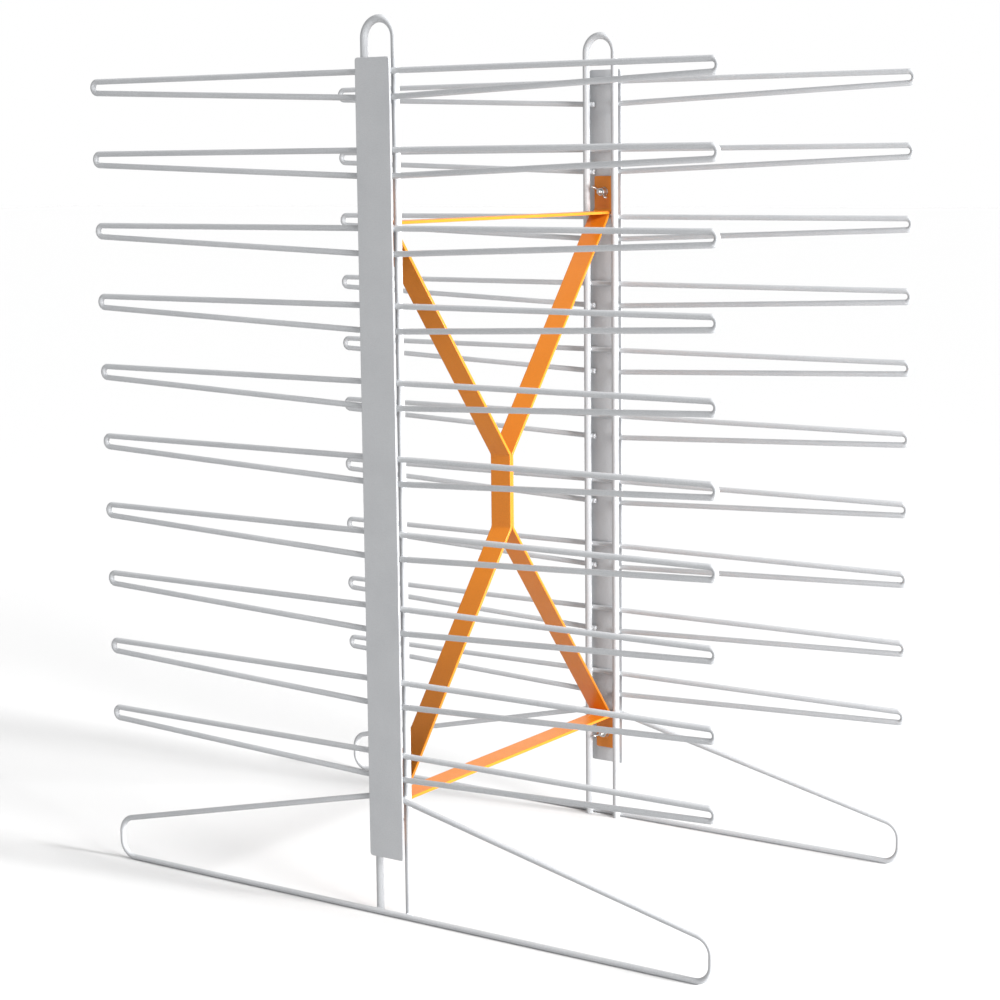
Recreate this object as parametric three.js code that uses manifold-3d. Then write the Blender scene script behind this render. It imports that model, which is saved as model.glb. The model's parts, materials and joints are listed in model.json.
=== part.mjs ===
// A knock-down wire rack for drying painted boards: two upright wire frames joined by a bent strip brace.
// Millimetres, +Z up. X runs along the arms, Y from the front frame to the rear one, and the floor is z = 0.
import * as THREE from "three";
import { mergeVertices } from "three/addons/utils/BufferGeometryUtils.js";
import Module from "manifold-3d";

// Arms and feet, bent from one wire
const WIRE = 6.0;
const ARM_SPAN = 762;
const ARM_TIERS = 10;
const ARM_PITCH = 76.2;
const ARM_ROOT_SPREAD = 25.4;
const ARM_TIP_SPREAD = 11.8;
const ARM_END_OVERHANG = 2.0;
const ARM_OVER_FOOT = 17.3;
const FOOT_SPAN = 756;
const FOOT_APEX = 131;
const FOOT_END_RISE = 44.8;
const FOOT_BEND = 18;

// Upright hairpin wire and its cover plate
const POST_WIRE = 8;
const LEG_SPACING = 37.2;
const HANDLE_RISE = 50.9;
const PLATE_WIDTH = 42;
const PLATE_THICKNESS = 2.5;
const PLATE_CORNER = 3;
const PLATE_ABOVE_ARM = 13.5;
const PLATE_FOOT_GAP = 64;
const FRAME_SPACING = 430;

// Brace of flat strip
const STRIP_WIDTH = 25.4;
const STRIP_THICKNESS = 3.2;
const STRIP_BEND = 5;
const TIE_UNDER_TIER = 3;
const TAB_CLEAR = 1.5;
const TAB_CORNER = 2;
const STRIP_INSET = 9;
const CENTRE_LENGTH = 80;

// Studs, washers and wing nuts
const STUD_DIAMETER = 5;
const STUD_LENGTH = 16;
const STUD_SETBACK = 18;
const TAB_HOLE_PLAY = 0.6;
const WASHER_DIAMETER = 11;
const WASHER_THICKNESS = 1;
const WASHER_PLAY = 0.5;
const NUT_PLAY = 0.05;
const HUB_BASE = 10.5;
const HUB_TOP = 8.5;
const HUB_HEIGHT = 6.5;
const WING_SPAN = 24;
const WING_HEIGHT = 12;
const WING_THICKNESS = 2.4;
const WING_REST_DEGREES = { front_top: 60, front_bottom: -15, rear_top: -35, rear_bottom: 20 };

// Gaps between pieces that touch, and how finely round stretches are divided
const SEAT = 0.3;
const FACE_PLAY = 0.15;
const WIRE_SIDES = 8;
const BEND_STEP = Math.PI / 8;
const TURNED_SIDES = 24;

// Places that follow from the sizes above
const wireRadius = WIRE / 2;
const postRadius = POST_WIRE / 2;
const halfStrip = STRIP_THICKNESS / 2;
const footWireHeight = wireRadius;
const lowestArmHeight = FOOT_APEX + ARM_OVER_FOOT + ARM_ROOT_SPREAD / 2;
const armHeight = (tier) => lowestArmHeight + (ARM_TIERS - tier) * ARM_PITCH;
const upperWireHeight = (tier) => armHeight(tier) + ARM_ROOT_SPREAD / 2;
const lowerWireHeight = (tier) => armHeight(tier) - ARM_ROOT_SPREAD / 2;
const postTop = upperWireHeight(1) + HANDLE_RISE;
const armEnd = LEG_SPACING / 2 - postRadius - ARM_END_OVERHANG;
const armPlane = FRAME_SPACING / 2;
const postPlane = armPlane - wireRadius - SEAT - postRadius;
const plateInner = armPlane + wireRadius + SEAT;
const tabOuter = plateInner - SEAT;
const tabInner = tabOuter - STRIP_THICKNESS;
const topTieHeight = upperWireHeight(TIE_UNDER_TIER) + wireRadius + SEAT + halfStrip;
const tabRise = lowerWireHeight(TIE_UNDER_TIER - 1) - wireRadius - TAB_CLEAR - topTieHeight;
const footSlope = (FOOT_APEX - FOOT_END_RISE) / (FOOT_SPAN / 2 - wireRadius);
const footEndHeight = FOOT_APEX - footSlope * armEnd;
const bottomTieHeight = footEndHeight - wireRadius - SEAT - halfStrip;
const braceMiddle = (topTieHeight + bottomTieHeight) / 2;
const stripTop = topTieHeight - halfStrip - SEAT;
const stripPlane = halfStrip + FACE_PLAY;
const studRise = tabRise - STUD_SETBACK;
const nutSeat = tabInner - FACE_PLAY - WASHER_THICKNESS - FACE_PLAY;

const white = new THREE.MeshStandardMaterial({ color: 0xe4e5e8, roughness: 0.45, metalness: 0.0 });
const orange = new THREE.MeshStandardMaterial({ color: 0xe4702a, roughness: 0.4, metalness: 0.0 });
const zinc = new THREE.MeshStandardMaterial({ color: 0xb9bcc0, roughness: 0.35, metalness: 1.0 });

const wasm = await Module();
wasm.setup();

const rack = new THREE.Group();
rack.name = "board_drying_rack";

// Booleans: a closed geometry as a solid, and a solid as a geometry
function solidOf(geometry) {
  const bare = geometry.clone();
  bare.deleteAttribute("normal");
  bare.deleteAttribute("uv");
  const merged = mergeVertices(bare, 1e-4);
  const mesh = new wasm.Mesh({
    numProp: 3,
    vertProperties: merged.getAttribute("position").array,
    triVerts: new Uint32Array(merged.index.array),
  });
  return new wasm.Manifold(mesh);
}

function geometryOf(solid) {
  const mesh = solid.getMesh();
  const geometry = new THREE.BufferGeometry();
  geometry.setAttribute("position", new THREE.BufferAttribute(mesh.vertProperties, 3));
  geometry.setIndex(new THREE.BufferAttribute(mesh.triVerts, 1));
  geometry.computeVertexNormals();
  return geometry;
}

function addPiece(name, geometry, material, y = 0) {
  const mesh = new THREE.Mesh(geometry, material);
  mesh.name = name;
  mesh.position.y = y;
  rack.add(mesh);
}

// Radius that makes two neighbouring bends meet, so that the run between them is one round end.
function roundEnd(run, firstTurn, secondTurn) {
  return run / (Math.tan(firstTurn / 2) + Math.tan(secondTurn / 2));
}

// Centreline of a bent bar in its own plane: two stations on a straight run, more round each bend.
function bentLine(corners, radius) {
  const stations = [];
  const add = (point, along) => {
    const last = stations.at(-1);
    if (!last || last.point.distanceTo(point) > 1e-6) {
      stations.push({ point, along });
    }
  };
  const heading = (from, to) => to.clone().sub(from).normalize();
  add(corners[0], heading(corners[0], corners[1]));
  for (let i = 1; i < corners.length - 1; i++) {
    const before = heading(corners[i - 1], corners[i]);
    const after = heading(corners[i], corners[i + 1]);
    const turn = Math.atan2(before.cross(after), before.dot(after));
    const setback = radius * Math.tan(Math.abs(turn) / 2);
    const start = corners[i].clone().addScaledVector(before, -setback);
    const inward = new THREE.Vector2(-before.y, before.x).multiplyScalar(Math.sign(turn));
    const centre = start.clone().addScaledVector(inward, radius);
    const steps = Math.ceil(Math.abs(turn) / BEND_STEP);
    for (let k = 0; k <= steps; k++) {
      const angle = (turn * k) / steps;
      const along = before.clone().rotateAround(new THREE.Vector2(), angle);
      add(start.clone().rotateAround(centre, angle), along);
    }
  }
  add(corners.at(-1), heading(corners.at(-2), corners.at(-1)));
  return stations;
}

// A curve in the XZ plane that steps from station to station of a bent line.
class StationCurve extends THREE.Curve {
  constructor(stations) {
    super();
    this.stations = stations;
  }

  station(u) {
    return this.stations[Math.round(u * (this.stations.length - 1))];
  }

  getPointAt(u) {
    const { point } = this.station(u);
    return new THREE.Vector3(point.x, 0, point.y);
  }

  getTangentAt(u) {
    const { along } = this.station(u);
    return new THREE.Vector3(along.x, 0, along.y);
  }
}

// Round bar along a bent line, as a prism of WIRE_SIDES flats that stand at its true radius.
function bentWire(corners, bendRadius, radius) {
  const stations = bentLine(corners, bendRadius);
  const corner = radius / Math.cos(Math.PI / WIRE_SIDES);
  const section = new THREE.Shape();
  for (let i = 0; i < WIRE_SIDES; i++) {
    const angle = (2 * Math.PI * (i + 0.5)) / WIRE_SIDES;
    const x = corner * Math.cos(angle);
    const y = corner * Math.sin(angle);
    if (i === 0) {
      section.moveTo(x, y);
    } else {
      section.lineTo(x, y);
    }
  }
  return new THREE.ExtrudeGeometry(section, {
    steps: stations.length - 1,
    extrudePath: new StationCurve(stations),
    bevelEnabled: false,
  });
}

const place = (x, z) => new THREE.Vector2(x, z);
const mirrored = (corners) => corners.map((corner) => place(-corner.x, corner.y)).reverse();

// One arm loop: a straight upper wire from tip to tip, round tips, and two lower wires cut behind the post.
function armGeometry(tier) {
  const tipX = ARM_SPAN / 2 - wireRadius;
  const upper = upperWireHeight(tier);
  const lowerTip = upper - ARM_TIP_SPREAD;
  const right = [place(tipX, upper), place(tipX, lowerTip), place(armEnd, lowerWireHeight(tier))];
  const slope = Math.atan2(lowerTip - lowerWireHeight(tier), tipX - armEnd);
  const bend = roundEnd(ARM_TIP_SPREAD, Math.PI / 2, Math.PI / 2 - slope);
  return bentWire([...mirrored(right), ...right], bend, wireRadius);
}

// One foot: a base wire on the floor whose round ends turn up and rise to the post.
function footGeometry() {
  const endX = FOOT_SPAN / 2 - wireRadius;
  const right = [place(endX, footWireHeight), place(endX, FOOT_END_RISE), place(armEnd, footEndHeight)];
  const rise = Math.atan(footSlope);
  const fullRound = roundEnd(FOOT_END_RISE - footWireHeight, Math.PI / 2, Math.PI / 2 + rise);
  return bentWire([...mirrored(right), ...right], Math.min(FOOT_BEND, fullRound), wireRadius);
}

// One upright: two legs that stand on the floor, joined by a round handle at the top.
function postGeometry() {
  const legX = LEG_SPACING / 2;
  const right = [place(legX, postTop), place(legX, 0)];
  return bentWire([...mirrored(right), ...right], legX, postRadius);
}

// A rounded rectangle in X and Z
function roundedShape(halfWidth, low, high, corner) {
  const shape = new THREE.Shape();
  shape.moveTo(-halfWidth + corner, low);
  shape.lineTo(halfWidth - corner, low);
  shape.absarc(halfWidth - corner, low + corner, corner, -Math.PI / 2, 0, false);
  shape.lineTo(halfWidth, high - corner);
  shape.absarc(halfWidth - corner, high - corner, corner, 0, Math.PI / 2, false);
  shape.lineTo(-halfWidth + corner, high);
  shape.absarc(-halfWidth + corner, high - corner, corner, Math.PI / 2, Math.PI, false);
  shape.lineTo(-halfWidth, low + corner);
  shape.absarc(-halfWidth + corner, low + corner, corner, Math.PI, 1.5 * Math.PI, false);
  return shape;
}

// A shape drawn in X and Z, given thickness along Y about y = 0
function slab(shape, thickness) {
  const geometry = new THREE.ExtrudeGeometry(shape, { depth: thickness, bevelEnabled: false, curveSegments: 4 });
  geometry.translate(0, 0, -thickness / 2);
  geometry.rotateX(Math.PI / 2);
  return geometry;
}

function plateGeometry() {
  const top = upperWireHeight(1) + PLATE_ABOVE_ARM;
  return slab(roundedShape(PLATE_WIDTH / 2, PLATE_FOOT_GAP, top, PLATE_CORNER), PLATE_THICKNESS);
}

// Flat strip bent in the YZ plane. With a level for an end, that end is cut flat at that height.
function bentStrip(corners, levels = []) {
  const stations = bentLine(corners, STRIP_BEND + halfStrip);
  const edge = (side) =>
    stations.map(({ point, along }, i) => {
      const out = new THREE.Vector2(-along.y, along.x).multiplyScalar(side * halfStrip);
      const moved = point.clone().add(out);
      const level = i === 0 ? levels[0] : i === stations.length - 1 ? levels[1] : undefined;
      return level === undefined ? moved : moved.addScaledVector(along, (level - moved.y) / along.y);
    });
  const outline = new THREE.Shape([...edge(1), ...edge(-1).reverse()]);
  const geometry = new THREE.ExtrudeGeometry(outline, { depth: STRIP_WIDTH, bevelEnabled: false });
  geometry.translate(0, 0, -STRIP_WIDTH / 2);
  const yAxis = new THREE.Vector3(0, 1, 0);
  const zAxis = new THREE.Vector3(0, 0, 1);
  const xAxis = new THREE.Vector3(1, 0, 0);
  return geometry.applyMatrix4(new THREE.Matrix4().makeBasis(yAxis, zAxis, xAxis));
}

// A tie spans the two plates, and its ends turn up (side 1) or down (side -1) into bolted tabs.
function tieGeometry(height, side) {
  const tabY = (tabOuter + tabInner) / 2;
  const tabEnd = height + side * tabRise;
  const strip = bentStrip([place(-tabY, tabEnd), place(-tabY, height), place(tabY, height), place(tabY, tabEnd)]);
  const low = Math.min(height - side * STRIP_WIDTH, tabEnd);
  const high = Math.max(height - side * STRIP_WIDTH, tabEnd);
  const outline = slab(roundedShape(STRIP_WIDTH / 2, low, high, TAB_CORNER), FRAME_SPACING + STRIP_WIDTH);
  const holeRadius = (STUD_DIAMETER + TAB_HOLE_PLAY) / 2;
  const hole = new THREE.CylinderGeometry(holeRadius, holeRadius, FRAME_SPACING + STRIP_WIDTH, TURNED_SIDES);
  hole.translate(0, 0, height + side * studRise);
  return geometryOf(solidOf(strip).intersect(solidOf(outline)).subtract(solidOf(hole)));
}

// A strip runs from the ends of the ties to the middle, where it stands upright against its twin.
function stripGeometry(end) {
  const endY = end * (tabInner - STRIP_INSET);
  const middleY = end * stripPlane;
  const stripBottom = bottomTieHeight + halfStrip + SEAT;
  const corners = [
    place(endY, stripTop),
    place(middleY, braceMiddle + CENTRE_LENGTH / 2),
    place(middleY, braceMiddle - CENTRE_LENGTH / 2),
    place(endY, stripBottom),
  ];
  return bentStrip(corners, [stripTop, stripBottom]);
}

// Ring or cone turned about local Z, from a profile of radius and height
function turned(profile) {
  const points = [...profile, profile[0]].map(([radius, height]) => new THREE.Vector2(radius, height));
  const geometry = new THREE.LatheGeometry(points, TURNED_SIDES);
  return geometry.rotateX(Math.PI / 2);
}

const sideToFlat = 1 / Math.cos(Math.PI / TURNED_SIDES);
const boreRadius = (play) => (STUD_DIAMETER / 2 + play) * sideToFlat;

function washerGeometry() {
  const hole = boreRadius(WASHER_PLAY);
  const rim = WASHER_DIAMETER / 2;
  return turned([[hole, 0], [rim, 0], [rim, WASHER_THICKNESS], [hole, WASHER_THICKNESS]]);
}

// One wing in local X and Z: it leaves the hub wall, flares out and ends in a rounded ear.
function wingGeometry(side) {
  const root = (boreRadius(NUT_PLAY) + HUB_TOP / 2) / 2;
  const tip = WING_SPAN / 2;
  const wing = new THREE.Shape();
  wing.moveTo(root, HUB_HEIGHT * 0.15);
  wing.quadraticCurveTo(tip * 0.75, WING_HEIGHT * 0.3, tip, WING_HEIGHT * 0.62);
  wing.quadraticCurveTo(tip, WING_HEIGHT, tip * 0.82, WING_HEIGHT);
  wing.quadraticCurveTo(tip * 0.66, WING_HEIGHT, tip * 0.6, WING_HEIGHT * 0.8);
  wing.quadraticCurveTo(tip * 0.5, HUB_HEIGHT * 0.95, root, HUB_HEIGHT * 0.9);
  const settings = { depth: WING_THICKNESS, bevelEnabled: false, curveSegments: 5 };
  const geometry = new THREE.ExtrudeGeometry(wing, settings);
  geometry.translate(0, 0, -WING_THICKNESS / 2);
  geometry.rotateX(Math.PI / 2);
  return side > 0 ? geometry : geometry.rotateZ(Math.PI);
}

function wingNutGeometry() {
  const bore = boreRadius(NUT_PLAY);
  const hub = turned([[bore, 0], [HUB_BASE / 2, 0], [HUB_TOP / 2, HUB_HEIGHT], [bore, HUB_HEIGHT]]);
  return geometryOf(solidOf(hub).add(solidOf(wingGeometry(1))).add(solidOf(wingGeometry(-1))));
}

// A turned piece stood on its fastening point, with its local Z pointing out of the plate.
function addFastener(name, geometry, material, end, y, height, restDegrees = 0) {
  const mesh = new THREE.Mesh(geometry, material);
  mesh.name = name;
  mesh.rotation.set(end < 0 ? -Math.PI / 2 : Math.PI / 2, 0, 0);
  mesh.rotateZ(THREE.MathUtils.degToRad(restDegrees));
  mesh.position.set(0, end * y, height);
  rack.add(mesh);
}

// Both frames are alike, one turned to face each way.
for (const [frame, end] of [["front", -1], ["rear", 1]]) {
  addPiece(`${frame}_post_wire`, postGeometry(), white, end * postPlane);
  addPiece(`${frame}_foot_wire`, footGeometry(), white, end * armPlane);
  addPiece(`${frame}_plate`, plateGeometry(), white, end * (plateInner + PLATE_THICKNESS / 2));
  for (let tier = 1; tier <= ARM_TIERS; tier++) {
    const number = String(tier).padStart(2, "0");
    addPiece(`${frame}_arm_${number}`, armGeometry(tier), white, end * armPlane);
  }
}

addPiece("brace_top_tie", tieGeometry(topTieHeight, 1), orange);
addPiece("brace_bottom_tie", tieGeometry(bottomTieHeight, -1), orange);
addPiece("brace_front_strip", stripGeometry(-1), orange);
addPiece("brace_rear_strip", stripGeometry(1), orange);

for (const [frame, end] of [["front", -1], ["rear", 1]]) {
  for (const [level, height] of [["top", topTieHeight + studRise], ["bottom", bottomTieHeight - studRise]]) {
    const spot = `${frame}_${level}`;
    const stud = new THREE.CylinderGeometry(STUD_DIAMETER / 2, STUD_DIAMETER / 2, STUD_LENGTH, TURNED_SIDES);
    stud.rotateX(Math.PI / 2);
    stud.translate(0, 0, STUD_LENGTH / 2);
    addFastener(`${spot}_stud`, stud, zinc, end, plateInner - SEAT, height);
    addFastener(`${spot}_washer`, washerGeometry(), zinc, end, tabInner - FACE_PLAY, height);
    addFastener(`${spot}_wing_nut`, wingNutGeometry(), zinc, end, nutSeat, height, WING_REST_DEGREES[spot]);
  }
}

export default rack;
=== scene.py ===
# %% [markdown]
# # A knock-down board drying rack
#
# Two upright wire frames, each with ten arm loops, stand apart on wire feet. A brace of orange strip
# joins them, and four wing nuts hold it. This lesson draws every piece as a smooth surface over the
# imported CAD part.

import json
import math

import bpy
import numpy as np
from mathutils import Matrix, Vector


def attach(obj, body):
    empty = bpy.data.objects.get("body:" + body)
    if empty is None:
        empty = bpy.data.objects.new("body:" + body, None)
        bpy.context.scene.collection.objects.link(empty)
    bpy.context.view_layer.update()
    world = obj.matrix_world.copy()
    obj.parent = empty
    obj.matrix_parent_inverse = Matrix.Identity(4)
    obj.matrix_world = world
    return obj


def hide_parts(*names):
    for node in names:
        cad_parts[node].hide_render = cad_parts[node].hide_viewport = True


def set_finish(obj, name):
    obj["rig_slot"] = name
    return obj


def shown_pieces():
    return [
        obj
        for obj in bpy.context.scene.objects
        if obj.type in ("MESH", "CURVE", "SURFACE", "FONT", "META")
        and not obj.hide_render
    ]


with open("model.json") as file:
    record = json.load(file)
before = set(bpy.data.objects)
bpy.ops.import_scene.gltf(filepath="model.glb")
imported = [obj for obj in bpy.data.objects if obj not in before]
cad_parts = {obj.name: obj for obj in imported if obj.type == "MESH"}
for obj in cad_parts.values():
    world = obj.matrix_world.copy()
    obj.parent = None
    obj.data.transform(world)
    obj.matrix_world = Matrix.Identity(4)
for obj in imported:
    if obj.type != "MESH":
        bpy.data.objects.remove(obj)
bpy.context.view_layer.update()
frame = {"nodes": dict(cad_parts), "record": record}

# %% [markdown]
# ## Sizes
#
# The looks have to sit on the CAD solids, so they are drawn from the same sizes, in metres. Reading
# them off the CAD boxes would also work, but a bend radius or a thread can't be read off a box.

# %% Wire sizes
MM = 0.001
WIRE = 3.0 * MM
POST = 4.0 * MM
LEG_X = 18.6 * MM
ARM_PLANE = 215.0 * MM
POST_PLANE = 207.7 * MM
ARM_END = 12.6 * MM
ARM_TIP = 378.0 * MM
TIP_SPREAD = 11.8 * MM
POST_TOP = 910.4 * MM
ARM_SPREAD = 25.4 * MM
TOP_ARM, ARM_PITCH, ARM_TIERS = 859.5, 76.2, 10  # millimetres, and a count
UPPER = {tier: (TOP_ARM - ARM_PITCH * (tier - 1)) * MM for tier in range(1, ARM_TIERS + 1)}
LOWER = {tier: UPPER[tier] - ARM_SPREAD for tier in UPPER}
FOOT_END = 375.0 * MM
FOOT_RISE = 44.8 * MM
FOOT_TOP = 128.104 * MM
FOOT_BEND = 18.0 * MM
ENDS = {"front": -1, "rear": 1}
print("arm loops:", len(ENDS) * len(UPPER))

# %% Plate, brace and fastener sizes
PLATE_IN, PLATE_OUT = 218.3 * MM, 220.8 * MM
PLATE_LOW, PLATE_HIGH = 64.0 * MM, 873.0 * MM
PLATE_HALF, PLATE_CORNER, PLATE_EDGE = 21.0 * MM, 3.0 * MM, 0.6 * MM
STRIP_HALF, STRIP_HALF_THICK, STRIP_BEND = 12.7 * MM, 1.6 * MM, 6.6 * MM
TIE = {"top": 712.0 * MM, "bottom": 123.204 * MM}
TAB_MID, TAB_RISE, TAB_CORNER = 216.4 * MM, 41.4 * MM, 2.0 * MM
STRIP_HIGH, STRIP_LOW = 710.1 * MM, 125.1 * MM
STRIP_FAR, STRIP_NEAR = 205.8 * MM, 1.75 * MM
CENTRE_HIGH, CENTRE_LOW = 457.6 * MM, 377.6 * MM
STUD = {"top": 735.4 * MM, "bottom": 99.804 * MM}
STUD_RADIUS, STUD_LENGTH, THREAD_PITCH = 2.5 * MM, 16.0 * MM, 0.8 * MM
WASHER_BORE, WASHER_RIM = 3.0 * MM, 5.5 * MM
WASHER_THICK, WASHER_EDGE = 1.0 * MM, 0.2 * MM
STUD_FOOT, WASHER_SEAT, NUT_SEAT = 218.0 * MM, 214.65 * MM, 213.5 * MM
SPIN = {"front_top": 60, "front_bottom": -15, "rear_top": -35, "rear_bottom": 20}
print("fastening points:", len(SPIN))

# %% [markdown]
# ## Surfaces from arrays
#
# Every piece is a grid of points: one parameter walks along the piece and the other goes round it.
# Modifiers could sweep a curve too, but with the points in arrays each piece is one formula, and its
# edges can be rounded where the formula says so.


# %% Grids to meshes
def grid_faces(rows, columns, closed_rows=False):
    """Quads of a grid whose columns wrap round: corner (i, j) joins (i, j+1), (i+1, j+1) and (i+1, j)."""
    i = np.arange(rows if closed_rows else rows - 1)[:, None]
    j = np.arange(columns)[None, :]
    k, m = (i + 1) % rows, (j + 1) % columns
    corners = [i * columns + j, i * columns + m, k * columns + m, k * columns + j]
    return np.stack([np.broadcast_to(c, (len(i), columns)) for c in corners], -1).reshape(-1, 4)


def signed_volume(points, quads):
    """Six times the volume inside closed quads: the sum of a . (b x c) over their triangles."""
    a, b, c, d = (points[quads[:, n]] for n in range(4))
    return np.sum(a * np.cross(b, c)) + np.sum(a * np.cross(c, d))


def surface(grid, closed_rows=False, capped=True):
    """(points, faces) of a grid of points, turned to face outwards, with flat end caps."""
    rows, columns = grid.shape[:2]
    points = grid.reshape(-1, 3)
    quads = grid_faces(rows, columns, closed_rows)
    caps = [np.arange(columns)[::-1], np.arange(columns) + (rows - 1) * columns] if capped else []
    middle = points.mean(0)
    if signed_volume(points - middle, quads) < 0:
        quads = quads[:, ::-1]
        caps = [c[::-1] for c in caps]
    return points, quads.tolist() + [c.tolist() for c in caps]


def piece(name, body, slot, replaced, *surfaces):
    """One smooth-shaded mesh of one or more surfaces, riding on a CAD body."""
    points, faces, start = [], [], 0
    for some_points, some_faces in surfaces:
        points.append(some_points)
        faces += [[v + start for v in f] for f in some_faces]
        start += len(some_points)
    mesh = bpy.data.meshes.new(name)
    mesh.from_pydata(np.concatenate(points).tolist(), [], faces)
    mesh.polygons.foreach_set("use_smooth", np.ones(len(mesh.polygons), bool))
    mesh.update()
    made = bpy.data.objects.new(name, mesh)
    bpy.context.scene.collection.objects.link(made)
    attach(made, body)
    if replaced:
        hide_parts(*replaced)
    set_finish(made, slot)
    return made


# %% [markdown]
# ## Bent bars
#
# Wire and strip are bent the same way: straight runs joined by arcs. A spline would only come near
# that. So a path is worked out in its own plane, and a section is carried along it square to the path.


# %% Paths with arcs
def bent_path(corners, radius, steps=14):
    """Points and unit directions of straight runs joined by arcs of one radius that touch both runs."""
    corners = np.asarray(corners, float)
    runs = np.diff(corners, axis=0)
    heads = runs / np.linalg.norm(runs, axis=1)[:, None]
    points, along = [corners[:1]], [heads[:1]]
    for i in range(1, len(corners) - 1):
        before, after = heads[i - 1], heads[i]
        turn = math.atan2(before[0] * after[1] - before[1] * after[0], before @ after)
        start = corners[i] - before * radius * math.tan(abs(turn) / 2)
        side = np.array([-before[1], before[0]]) * np.sign(turn)
        angles = np.linspace(0, turn, steps + 1)
        spun = np.stack([np.cos(angles), np.sin(angles)], 1)
        heading = np.stack([before[0] * spun[:, 0] - before[1] * spun[:, 1],
                            before[0] * spun[:, 1] + before[1] * spun[:, 0]], 1)
        normal = np.stack([-heading[:, 1], heading[:, 0]], 1) * np.sign(turn)
        points.append(start + side * radius - normal * radius)
        along.append(heading)
    return np.concatenate([*points, corners[-1:]]), np.concatenate([*along, heads[-1:]])


def with_ends(points, along, inset):
    """A path whose end points become rows of points, at given distances in from the ends."""
    steps = len(inset)
    head = points[0] + inset[:, None] * along[0]
    tail = points[-1] - inset[::-1, None] * along[-1]
    points = np.concatenate([head, points[1:-1], tail])
    first, last = np.repeat(along[:1], steps, 0), np.repeat(along[-1:], steps, 0)
    return points, np.concatenate([first, along[1:-1], last])


def swept(points, along, section, plane, level=0.0):
    """Grid P(i) + u(i, j) n(i) + v(i, j) b: u lies along the path's normal, v across the path's plane."""
    first, second, across = (np.eye(3)[a] for a in plane)
    normal = np.stack([-along[:, 1], along[:, 0]], 1)
    centre = points[:, :1] * first + points[:, 1:] * second + level * across
    normal = normal[:, :1] * first + normal[:, 1:] * second
    return centre[:, None] + section[..., :1] * normal[:, None] + section[..., 1:] * across


XZ, YZ = (0, 2, 1), (1, 2, 0)


# %% [markdown]
# ## Wire
#
# The arms, feet and uprights are drawn wire. A bevelled curve would draw it too, but its ends would be
# sharp. A cut end isn't sharp under powder coat, so here the radius falls away in a quarter circle over
# the last 0.7 mm.


# %% Round wire
def wire(corners, bend, radius, level, sides=28, edge=0.7 * MM, steps=6):
    """The wire's circle along a bent path; within `edge` of an end it shrinks by edge (1 - cos a)."""
    quarter = np.linspace(math.pi / 2, 0, steps)
    inset, shrink = edge * (1 - np.sin(quarter)), edge * (1 - np.cos(quarter))
    points, along = with_ends(*bent_path(corners, bend), inset)
    even = np.full(len(points) - 2 * steps, radius)
    radii = np.concatenate([radius - shrink, even, radius - shrink[::-1]])
    turn = np.linspace(0, 2 * math.pi, sides, endpoint=False)
    section = radii[:, None, None] * np.stack([np.cos(turn), np.sin(turn)], 1)
    return surface(swept(points, along, section, XZ, level))


def mirrored(right):
    """A path's right half with its left half before it."""
    return [(-x, z) for x, z in reversed(right)] + list(right)


def round_end(run, first, second):
    """Radius that makes two neighbouring bends meet: run / (tan first/2 + tan second/2)."""
    return run / (math.tan(first / 2) + math.tan(second / 2))


# %% Arms, feet and uprights
BEND_GAP = 1e-6  # keeps the handle's two bends from sharing a point
for name, end in ENDS.items():
    level = end * ARM_PLANE
    for tier in UPPER:
        low_tip = UPPER[tier] - TIP_SPREAD
        slope = math.atan2(low_tip - LOWER[tier], ARM_TIP - ARM_END)
        bend = round_end(TIP_SPREAD, math.pi / 2, math.pi / 2 - slope)
        right = [(ARM_TIP, UPPER[tier]), (ARM_TIP, low_tip), (ARM_END, LOWER[tier])]
        arm = f"{name}_arm_{tier:02d}"
        piece(f"{arm}_wire", "rack", "white_powder_coat", [arm], wire(mirrored(right), bend, WIRE, level))
    right = [(FOOT_END, WIRE), (FOOT_END, FOOT_RISE), (ARM_END, FOOT_TOP)]
    piece(f"{name}_foot_loop", "rack", "white_powder_coat", [f"{name}_foot_wire"],
          wire(mirrored(right), FOOT_BEND, WIRE, level))
    right = [(LEG_X, POST_TOP), (LEG_X, 0.0)]
    piece(f"{name}_hairpin", "rack", "white_powder_coat", [f"{name}_post_wire"],
          wire(mirrored(right), LEG_X - BEND_GAP, POST, end * POST_PLANE))

# %% [markdown]
# ## Plates
#
# A plate is a rounded rectangle with softly rounded edges. A bevelled box would come close. Here it is
# built from rings of its outline, each a little further in and a little further through the thickness,
# so that the edge is a true round.


# %% Cover plates
def rounded_outline(half_x, half_z, corner, steps=10):
    """Rounded rectangle: four quarter circles of the corner's radius, in order round the outline."""
    angles = np.linspace(0, math.pi / 2, steps + 1)
    arcs = []
    for quarter, (sx, sz) in enumerate([(1, 1), (-1, 1), (-1, -1), (1, -1)]):
        a = angles + quarter * math.pi / 2
        centre = np.array([sx * (half_x - corner), sz * (half_z - corner)])
        arcs.append(centre + corner * np.stack([np.cos(a), np.sin(a)], 1))
    return np.concatenate(arcs)


def edge_profile(thickness, edge, support, steps=5):
    """(inset, depth) pairs over a slab's rim: face, quarter circle, side, quarter circle, face."""
    a = np.linspace(0, math.pi / 2, steps + 1)
    first = np.stack([edge * (1 - np.sin(a)), edge * (1 - np.cos(a))], 1)
    rim = np.concatenate([[[edge + support, 0]], first])
    return np.concatenate([rim, rim[::-1] * [1, -1] + [0, thickness]])


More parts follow.
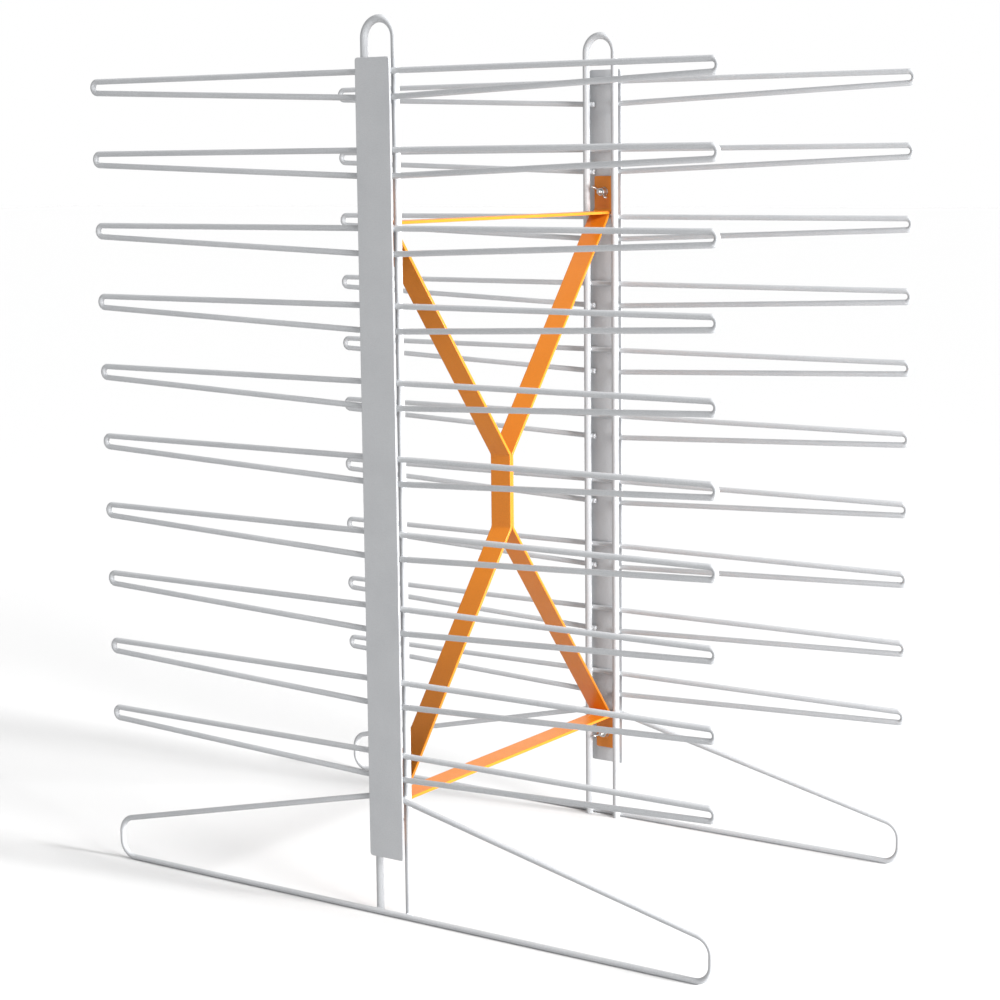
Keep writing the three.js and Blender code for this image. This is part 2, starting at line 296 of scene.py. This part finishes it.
for name, end in ENDS.items():
    half_z = (PLATE_HIGH - PLATE_LOW) / 2
    rings = []
    for inset, depth in edge_profile(PLATE_OUT - PLATE_IN, PLATE_EDGE, support=0.5 * MM):
        ring = rounded_outline(PLATE_HALF - inset, half_z - inset, PLATE_CORNER - inset)
        y = np.full(len(ring), end * (PLATE_IN + depth))
        rings.append(np.stack([ring[:, 0], y, ring[:, 1] + (PLATE_LOW + PLATE_HIGH) / 2], 1))
    piece(f"{name}_cover_plate", "rack", "white_powder_coat", [f"{name}_plate"], surface(np.array(rings)))
print("plates:", round(PLATE_HIGH - PLATE_LOW, 3), "m tall")

# %% [markdown]
# ## Brace strips
#
# The brace is flat strip, bent cold, so its bends are tight arcs and its long edges are rounded. The
# tab ends have small rounded corners: there the strip's width narrows along a quarter circle. Boxes
# joined at an angle would leave the bends sharp.


# %% Strips
def strip_section(half_width, half_thick=STRIP_HALF_THICK, edge=0.6 * MM, support=0.6 * MM, steps=4):
    """Rounded rectangle across the strip for each half width, with a support point beside each round."""
    a = np.linspace(0, math.pi / 2, steps + 1)
    arc = np.stack([half_thick - edge + edge * np.sin(a), -edge + edge * np.cos(a)], 1)
    arc = np.concatenate([arc, [[half_thick, -edge - support]]])
    corner = np.concatenate([arc, arc[::-1] * [-1, 1]])[len(arc):]
    corner = np.concatenate([corner, arc])
    u, v = corner[:, 0], corner[:, 1]
    one = np.stack([np.broadcast_to(u, (len(half_width), len(u))), half_width[:, None] + v], -1)
    return np.concatenate([one, (one * [1, -1])[:, ::-1]], 1)


def rounded_end_width(distance, half_width, corner):
    """Half width at a distance d from the end: within r of it narrower by r - sqrt(r^2 - (r - d)^2)."""
    short = np.clip(corner - distance, 0, corner)
    return half_width - corner + np.sqrt(corner**2 - short**2)


def tie(height, side, steps=12):
    """Strip bent along tab, tie and tab; near each end its half width follows rounded_end_width."""
    top = height + side * TAB_RISE
    corners = [(-TAB_MID, top), (-TAB_MID, height), (TAB_MID, height), (TAB_MID, top)]
    inset = TAB_CORNER * (1 - np.cos(np.linspace(0, math.pi / 2, steps)))
    points, along = with_ends(*bent_path(corners, STRIP_BEND), inset)
    even = np.full(len(points) - 2 * steps, STRIP_HALF)
    ends = rounded_end_width(inset, STRIP_HALF, TAB_CORNER)
    section = strip_section(np.concatenate([ends, even, ends[::-1]]))
    return surface(swept(points, along, section, YZ))


def upright_strip(end):
    """Strip bent in to the middle, down it and out; its end rows slide along it to a level cut."""
    corners = [(end * STRIP_FAR, STRIP_HIGH), (end * STRIP_NEAR, CENTRE_HIGH),
               (end * STRIP_NEAR, CENTRE_LOW), (end * STRIP_FAR, STRIP_LOW)]
    points, along = bent_path(corners, STRIP_BEND)
    grid = swept(points, along, strip_section(np.full(len(points), STRIP_HALF)), YZ)
    for row, level in ((0, STRIP_HIGH), (-1, STRIP_LOW)):
        grid[row, :, 1:] += ((level - grid[row, :, 2]) / along[row, 1])[:, None] * along[row]
    return surface(grid)


for level, side in (("top", 1), ("bottom", -1)):
    piece(f"{level}_tie_strip", "rack", "orange_powder_coat", [f"brace_{level}_tie"],
          tie(TIE[level], side))
for name, end in ENDS.items():
    piece(f"{name}_bent_strip", "rack", "orange_powder_coat", [f"brace_{name}_strip"],
          upright_strip(end))
print("brace strips:", len(TIE) + len(ENDS))

# %% [markdown]
# ## Weld beads
#
# Crossing wires are joined by resistance welds, which leave a small squeezed lump between them, and the
# brace's strips by short fillets. A true fillet could be worked out for each crossing, but at this size
# a lumpy ellipsoid between the two pieces looks the same.

# %% Weld sizes
WIRE_BEAD = np.array([2.9, 1.7, 2.6]) * MM
BRACE_BEAD = np.array([10.5, 2.6, 1.6]) * MM
BRACE_BEAD_Y = 207.0 * MM
BRACE_BEAD_HEIGHTS = (709.6 * MM, 125.6 * MM)
WELD_GAP, FLOOR_LIFT = 0.1 * MM, 0.5 * MM
LUMP, POLE = 0.07, 0.04
WIRE_SEED, BRACE_SEED = 1.7, 2.3


# %% Welds
def bead(centre, radii, seed, rows=12, columns=20):
    """Ellipsoid times 1 + LUMP sin(3 t + s) sin(2 p + 2 s), closed by small rings at its poles."""
    p = np.linspace(POLE, math.pi - POLE, rows)[:, None]
    t = np.linspace(0, 2 * math.pi, columns, endpoint=False)[None, :]
    lump = 1 + LUMP * np.sin(3 * t + seed) * np.sin(2 * p + 2 * seed)
    unit = np.stack([np.sin(p) * np.cos(t), np.sin(p) * np.sin(t), np.cos(p) + 0 * t], -1)
    return surface(np.asarray(centre) + unit * lump[..., None] * np.asarray(radii))


for name, end in ENDS.items():
    between = end * (ARM_PLANE - WIRE - WELD_GAP)
    spots = [(s * LEG_X, between, z[tier]) for tier in UPPER for z in (UPPER, LOWER) for s in (-1, 1)]
    spots += [(s * LEG_X, between, z) for s in (-1, 1) for z in (WIRE, FOOT_TOP)]
    spots = np.array(spots)
    spots[np.isclose(spots[:, 2], WIRE), 2] += FLOOR_LIFT
    beads = [bead(p, WIRE_BEAD, WIRE_SEED * i) for i, p in enumerate(spots)]
    piece(f"{name}_wire_welds", "rack", "white_powder_coat", [], *beads)
joins = [(0, end * BRACE_BEAD_Y, z) for end in ENDS.values() for z in BRACE_BEAD_HEIGHTS]
beads = [bead(p, BRACE_BEAD, BRACE_SEED * i) for i, p in enumerate(joins)]
piece("brace_welds", "rack", "orange_powder_coat", [], *beads)
print("weld beads:", len(ENDS) * len(spots) + len(joins))

# %% [markdown]
# ## Studs, washers and wing nuts
#
# These are turned shapes: a radius given for each height and angle about the stud's axis. A bump map
# could fake the thread, but its edge would stay smooth. So the thread is the same formula with a ridge
# that climbs one pitch for each turn.


# %% Turned shapes
def fastened(grid, end, y, height, degrees=0):
    """A shape that points along +Z, turned by an angle about it, laid along Y and set on the plate."""
    a = math.radians(degrees)
    x = grid[..., 0] * math.cos(a) - grid[..., 1] * math.sin(a)
    side = grid[..., 0] * math.sin(a) + grid[..., 1] * math.cos(a)
    return np.stack([x, end * y - end * grid[..., 2], height + end * side], -1)


def turned(profile, columns=48):
    """Grid of a profile of (radius, height) pairs turned about Z."""
    t = np.linspace(0, 2 * math.pi, columns, endpoint=False)
    r, z = np.asarray(profile, float).T[..., None]
    return np.stack([r * np.cos(t), r * np.sin(t), z + 0 * t], -1)


def thread(radius, pitch, length, columns=36, rows_per_turn=9, chamfer=0.8 * MM, slope=0.9):
    """Cylinder whose radius dips by 0.5 p (0.5 - 0.5 cos(2 pi z / p - t)), tapered at the free end."""
    z = np.linspace(0, length, int(length / pitch * rows_per_turn))[:, None]
    t = np.linspace(0, 2 * math.pi, columns, endpoint=False)[None, :]
    dip = 0.5 * pitch * (0.5 - 0.5 * np.cos(2 * math.pi * z / pitch - t))
    taper = np.clip(z - (length - chamfer), 0, None) * slope
    r = radius - np.maximum(dip, taper)
    return np.stack([r * np.cos(t), r * np.sin(t), z + 0 * t], -1)


def ring_profile(inner, outer, height, edge, steps=4):
    """Closed profile of a washer: a rectangle of radius and height with its four corners rounded."""
    mid, half = (inner + outer) / 2, (outer - inner) / 2
    loop = rounded_outline(half, height / 2, edge, steps)
    return loop + [mid, height / 2]


# %% Wing nuts
def wing_outline(samples=8):
    """One wing's outline in radius and height: a smooth cubic curve through stops, hub to ear and back."""
    stops = np.array([[3.4, 1.0], [7.0, 2.2], [10.6, 5.2], [12.0, 9.2], [11.2, 11.7], [9.4, 11.7],
                      [7.6, 10.0], [6.2, 7.4], [3.4, 5.8]]) * MM
    share = np.linspace(0, 1, samples, endpoint=False)[:, None]
    before, after, later = np.roll(stops, 1, 0), np.roll(stops, -1, 0), np.roll(stops, -2, 0)
    curves = []
    for p0, p1, p2, p3 in zip(before, stops, after, later):
        curve = 2 * p1 + (p2 - p0) * share + (2 * p0 - 5 * p1 + 4 * p2 - p3) * share**2
        curves.append((curve + (3 * p1 - p0 - 3 * p2 + p3) * share**3) / 2)
    return np.concatenate(curves)


def wing(side, thick=1.2 * MM, rows=22, start=0.06):
    """Rings of the outline drawn in to its middle, at half thickness h (1 - s^6)^(1/3) for the share s."""
    outline = wing_outline()
    middle = outline.mean(0)
    share = np.sin(np.linspace(start, math.pi - start, rows))
    lift = thick * (1 - share**6) ** (1 / 3) * np.where(np.arange(rows) < rows // 2, 1, -1)
    flat = middle + share[:, None, None] * (outline - middle)
    lift = np.broadcast_to(lift[:, None], flat.shape[:2])
    return np.stack([side * flat[..., 0], side * lift, flat[..., 1]], -1)


def hub_profile():
    """Closed hub profile: bore, chamfered base, slight cone, rounded top and the bore's mouth."""
    rows = [[2.62, 0.5], [3.0, 0.0], [4.9, 0.0], [5.2, 0.3], [5.22, 0.6], [4.55, 5.3], [4.4, 6.0],
            [4.05, 6.4], [3.6, 6.5], [3.1, 6.45], [2.62, 6.0]]
    return np.array(rows) * MM


# %% Fasteners
for name, end in ENDS.items():
    for level, height in STUD.items():
        spot = f"{name}_{level}"
        stud = fastened(thread(STUD_RADIUS, THREAD_PITCH, STUD_LENGTH), end, STUD_FOOT, height)
        piece(f"{spot}_threaded_stud", "rack", "zinc_plate", [f"{spot}_stud"], surface(stud))
        ring = turned(ring_profile(WASHER_BORE, WASHER_RIM, WASHER_THICK, WASHER_EDGE))
        ring = fastened(ring, end, WASHER_SEAT, height)
        piece(f"{spot}_flat_washer", f"{spot}_washer", "zinc_plate", [f"{spot}_washer"],
              surface(ring, closed_rows=True, capped=False))
        shapes = (turned(hub_profile()), wing(1), wing(-1))
        hub, right, left = (fastened(g, end, NUT_SEAT, height, SPIN[spot]) for g in shapes)
        piece(f"{spot}_winged_nut", f"{spot}_wing_nut", "zinc_plate", [f"{spot}_wing_nut"],
              surface(hub, closed_rows=True, capped=False), surface(right), surface(left))
print("fasteners:", 3 * len(STUD) * len(ENDS))

# %% [markdown]
# ## Finishes
#
# Powder coat is paint with a fine orange peel: a noise bump over an even colour, with faint mottling and
# specks. Zinc plate is bare metal with a slightly blue and yellow cloud and fine streaks. Photographs of
# the finishes could be laid on too, but noise has no seams and needs no unwrapping.


# %% Shader nodes
def node(tree, kind, **sockets):
    """A shader node whose inputs are set by name."""
    made = tree.nodes.new(kind)
    for socket, value in sockets.items():
        made.inputs[socket.replace("_", " ")].default_value = value
    return made


def noise(tree, scale, detail=2.0, stretch=None):
    """Noise over object coordinates, optionally stretched along one axis."""
    place = tree.nodes.new("ShaderNodeTexCoord")
    grain = node(tree, "ShaderNodeTexNoise", Scale=scale, Detail=detail)
    source = place.outputs["Object"]
    if stretch:
        mapping = node(tree, "ShaderNodeMapping", Scale=stretch)
        tree.links.new(source, mapping.inputs["Vector"])
        source = mapping.outputs["Vector"]
    tree.links.new(source, grain.inputs["Vector"])
    return grain


def ramp(tree, source, low, high, first, last):
    """Colours from first to last as the source goes from low to high."""
    made = tree.nodes.new("ShaderNodeValToRGB")
    made.color_ramp.elements[0].position, made.color_ramp.elements[1].position = low, high
    made.color_ramp.elements[0].color, made.color_ramp.elements[1].color = (*first, 1), (*last, 1)
    tree.links.new(source, made.inputs["Fac"])
    return made


# %% Materials
CLOUD_SCALE, SPECK_SCALE, SHEEN_SCALE = 22, 1100, 60
SHEEN_SPREAD, PEEL_DEPTH = 0.05, 0.0004
MIX_A, MIX_B, MIX_RESULT = 6, 7, 2  # a mix node's colour sockets


def finish(name, shade, light, speck, roughness, metallic, peel, bump, stretch=None):
    """Two clouded shades, darker specks over them, a roughness that varies a little and a fine bump."""
    material = bpy.data.materials.new(name)
    material.use_nodes = True
    tree = material.node_tree
    shader = tree.nodes["Principled BSDF"]
    cloud = ramp(tree, noise(tree, CLOUD_SCALE, 3).outputs["Fac"], 0.3, 0.7, shade, light)
    specks = ramp(tree, noise(tree, SPECK_SCALE).outputs["Fac"], 0.38, 0.60, speck, (1, 1, 1))
    mixed = node(tree, "ShaderNodeMix", Factor=1.0)
    mixed.data_type, mixed.blend_type = "RGBA", "MULTIPLY"
    tree.links.new(cloud.outputs["Color"], mixed.inputs[MIX_A])
    tree.links.new(specks.outputs["Color"], mixed.inputs[MIX_B])
    tree.links.new(mixed.outputs[MIX_RESULT], shader.inputs["Base Color"])
    glossy, dull = (roughness - SHEEN_SPREAD,) * 3, (roughness + SHEEN_SPREAD,) * 3
    sheen = ramp(tree, noise(tree, SHEEN_SCALE).outputs["Fac"], 0.2, 0.8, glossy, dull)
    tree.links.new(sheen.outputs["Color"], shader.inputs["Roughness"])
    shader.inputs["Metallic"].default_value = metallic
    relief = node(tree, "ShaderNodeBump", Strength=bump, Distance=PEEL_DEPTH)
    tree.links.new(noise(tree, peel, stretch=stretch).outputs["Fac"], relief.inputs["Height"])
    tree.links.new(relief.outputs["Normal"], shader.inputs["Normal"])
    return material


FINISHES = {
    "white_powder_coat": finish(
        "white powder coat", shade=(0.565, 0.577, 0.594), light=(0.605, 0.617, 0.632),
        speck=(0.91, 0.91, 0.913), roughness=0.42, metallic=0.0, peel=620, bump=0.35),
    "orange_powder_coat": finish(
        "orange powder coat", shade=(0.77, 0.235, 0.012), light=(0.81, 0.253, 0.015),
        speck=(0.93, 0.90, 0.88), roughness=0.36, metallic=0.0, peel=700, bump=0.22),
    "zinc_plate": finish(
        "zinc plate", shade=(0.62, 0.64, 0.67), light=(0.74, 0.74, 0.72),
        speck=(0.85, 0.85, 0.85), roughness=0.30, metallic=1.0, peel=900, bump=0.15,
        stretch=(1, 6, 1)),
}
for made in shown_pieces():
    made.data.materials.clear()
    made.data.materials.append(FINISHES[made["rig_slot"]])
slots = {s["node"]: s["material_slot"] for s in frame["record"]["subparts"]}
for name, made in frame["nodes"].items():
    made.data.materials.clear()
    made.data.materials.append(FINISHES[slots[name]])
print("finishes:", ", ".join(FINISHES))

# %% [markdown]
# ## Floor and sky
#
# The photograph's ground is white up to the rack's feet, with a faint shadow. A curved backdrop would do
# that too, but a wide matt floor under a white sky also works from every other side. The camera sees
# floor and sky brighter than the rack does, so that the wires keep their shading.

# %% Floor
FLOOR_SEEN, FLOOR_BOUNCE = 0.80, 0.52
FLOOR_HALF = 30
floor_mesh = bpy.data.meshes.new("floor")
floor_corners = [(x * FLOOR_HALF, y * FLOOR_HALF, 0) for x, y in ((-1, -1), (1, -1), (1, 1), (-1, 1))]
floor_mesh.from_pydata(floor_corners, [], [(0, 1, 2, 3)])
floor = bpy.data.objects.new("floor", floor_mesh)
bpy.context.scene.collection.objects.link(floor)
paper = bpy.data.materials.new("pale floor")
paper.use_nodes = True
tree = paper.node_tree
coat = tree.nodes["Principled BSDF"]
coat.inputs["Roughness"].default_value = 0.9
coat.inputs["Specular IOR Level"].default_value = 0.0
rays = tree.nodes.new("ShaderNodeLightPath")
shade = ramp(tree, rays.outputs["Is Camera Ray"], 0.0, 1.0, (FLOOR_BOUNCE,) * 3, (FLOOR_SEEN,) * 3)
tree.links.new(shade.outputs["Color"], coat.inputs["Base Color"])
floor_mesh.materials.append(paper)
print("floor:", 2 * FLOOR_HALF, "m wide")

# %% Sky
SKY = 0.42
world = bpy.data.worlds.new("studio")
world.use_nodes = True
bpy.context.scene.world = world
tree = world.node_tree
rays = tree.nodes.new("ShaderNodeLightPath")
seen = tree.nodes.new("ShaderNodeMath")
seen.operation = "MAXIMUM"
tree.links.new(rays.outputs["Is Camera Ray"], seen.inputs[0])
tree.links.new(rays.outputs["Is Transmission Ray"], seen.inputs[1])
strength = tree.nodes.new("ShaderNodeMapRange")
strength.inputs["To Min"].default_value = SKY
strength.inputs["To Max"].default_value = 1.0
tree.links.new(seen.outputs[0], strength.inputs["Value"])
background = tree.nodes["Background"]
background.inputs["Color"].default_value = (1, 1, 1, 1)
tree.links.new(strength.outputs["Result"], background.inputs["Strength"])
print("sky strength on the rack:", SKY)

# %% [markdown]
# ## Lights
#
# The key light is a sun from the right of the rack. A weaker second sun, further to the front, reaches
# the legs that the key leaves in shadow. Two very wide suns fill front and back, and a panel lights the
# brace from the side. One large lamp would be simpler, but the wires would look flat.


# %% Suns
def sun(name, energy, width, elevation, bearing):
    """A far light of an angular width, from an elevation and from a bearing turned from +X towards +Y."""
    data = bpy.data.lights.new(name, "SUN")
    data.energy, data.angle = energy, math.radians(width)
    made = bpy.data.objects.new(name, data)
    bpy.context.scene.collection.objects.link(made)
    made.rotation_euler = (math.radians(90 - elevation), 0, math.radians(90 + bearing))


sun("key", energy=4.6, width=10, elevation=21, bearing=5)
sun("second", energy=1.5, width=14, elevation=24, bearing=-15)
sun("fill", energy=0.25, width=80, elevation=12, bearing=-95)
sun("back", energy=0.6, width=80, elevation=25, bearing=110)

# %% Side panel
PANEL_SIZE, PANEL_POWER = (0.4, 1.0), 30
PANEL_PLACE, PANEL_AIM = (1.9, -0.34, 0.5), (0, 0.1, 0.45)
side_data = bpy.data.lights.new("side", "AREA")
side_data.shape, side_data.energy = "RECTANGLE", PANEL_POWER
side_data.size, side_data.size_y = PANEL_SIZE
side = bpy.data.objects.new("side", side_data)
bpy.context.scene.collection.objects.link(side)
side.location = PANEL_PLACE
side.rotation_euler = (Vector(PANEL_AIM) - side.location).to_track_quat("-Z", "Y").to_euler()
side.visible_camera = False
print("lights:", len(bpy.data.lights))

# %% [markdown]
# ## Camera
#
# Place, direction, roll and lens were solved from wire positions in the photograph. A camera set by eye
# would not put the arms where the photograph has them.

# %% Camera
AZIMUTH, ELEVATION, ROLL = 33.91, 8.70, -0.612
CAMERA_PLACE = (1.32479, -1.97557, 0.77132)
LENS, SENSOR_WIDTH, FAR_LIMIT = 79.71, 36, 100
camera_data = bpy.data.cameras.new("camera")
camera_data.sensor_width = SENSOR_WIDTH
camera_data.lens = LENS
camera_data.clip_end = FAR_LIMIT
camera = bpy.data.objects.new("camera", camera_data)
bpy.context.scene.collection.objects.link(camera)
bpy.context.scene.camera = camera
camera.location = CAMERA_PLACE
a, e = math.radians(AZIMUTH), math.radians(ELEVATION)
back = Vector((math.sin(a) * math.cos(e), -math.cos(a) * math.cos(e), math.sin(e)))
aim = (-back).to_track_quat("-Z", "Y").to_matrix().to_4x4()
camera.rotation_euler = (aim @ Matrix.Rotation(math.radians(ROLL), 4, "Z")).to_euler()
bpy.context.scene.view_settings.view_transform = "Standard"
print("camera:", LENS, "mm lens")
